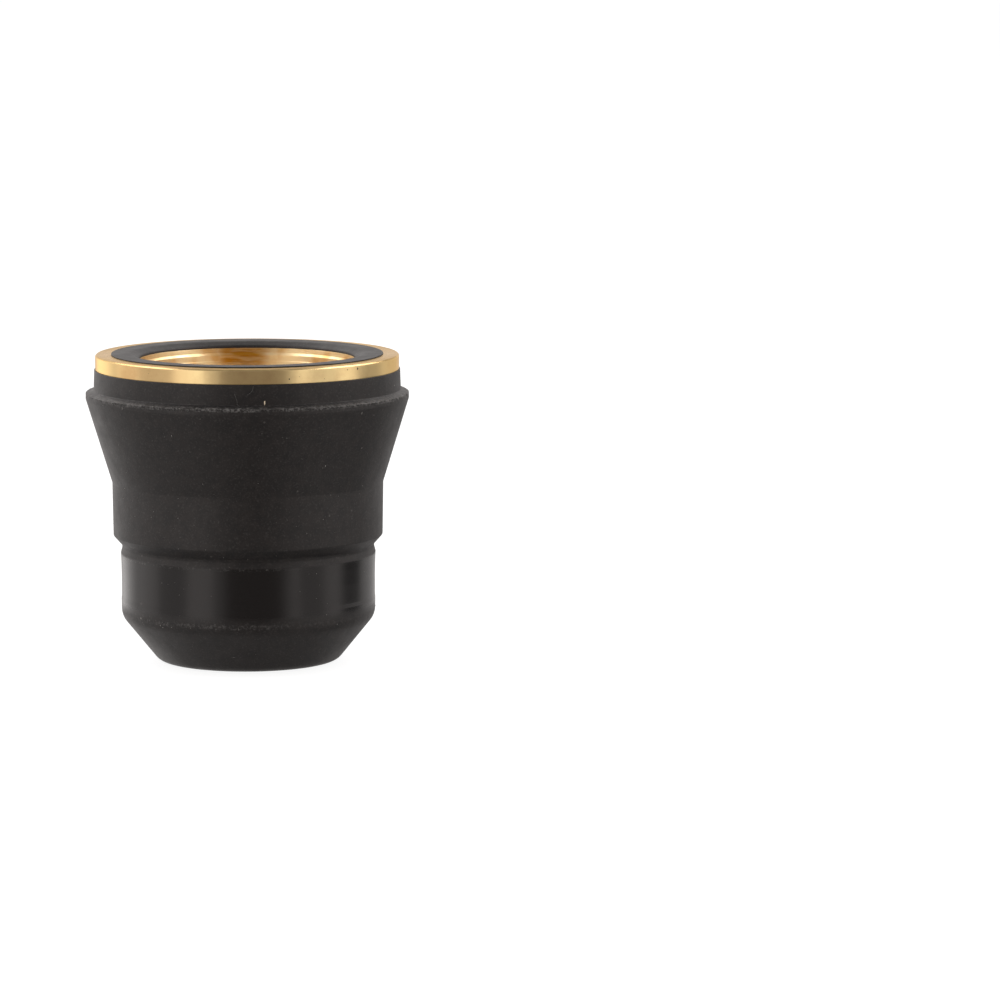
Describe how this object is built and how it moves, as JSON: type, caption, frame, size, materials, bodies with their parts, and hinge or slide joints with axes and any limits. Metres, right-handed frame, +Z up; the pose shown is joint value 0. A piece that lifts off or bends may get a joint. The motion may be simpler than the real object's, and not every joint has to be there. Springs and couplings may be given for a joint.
{
  "type": "plasma torch shield cap",
  "caption": "Black moulded shield cap for a plasma cutting torch, with a threaded brass liner, a brass ring on its lip and a tapered nose.",
  "frame": {"origin": "centre of the nose's flat face, which the cap stands on", "axes": "+Z up along the turning axis, from the nose to the threaded mouth; the cap is the same all round, so +X and +Y are free"},
  "size_m": [0.0339, 0.0338, 0.0325],
  "materials": {
    "black_insulator": "matte moulded thermoset, polished on its guide band",
    "turned_brass": "fine turned, satin",
    "liner_brass": "turned and threaded, satin"
  },
  "bodies": {
    "root": {"insulator_body": "black_insulator", "contact_ring": "turned_brass", "threaded_liner": "liner_brass"}
  },
  "joints": []
}
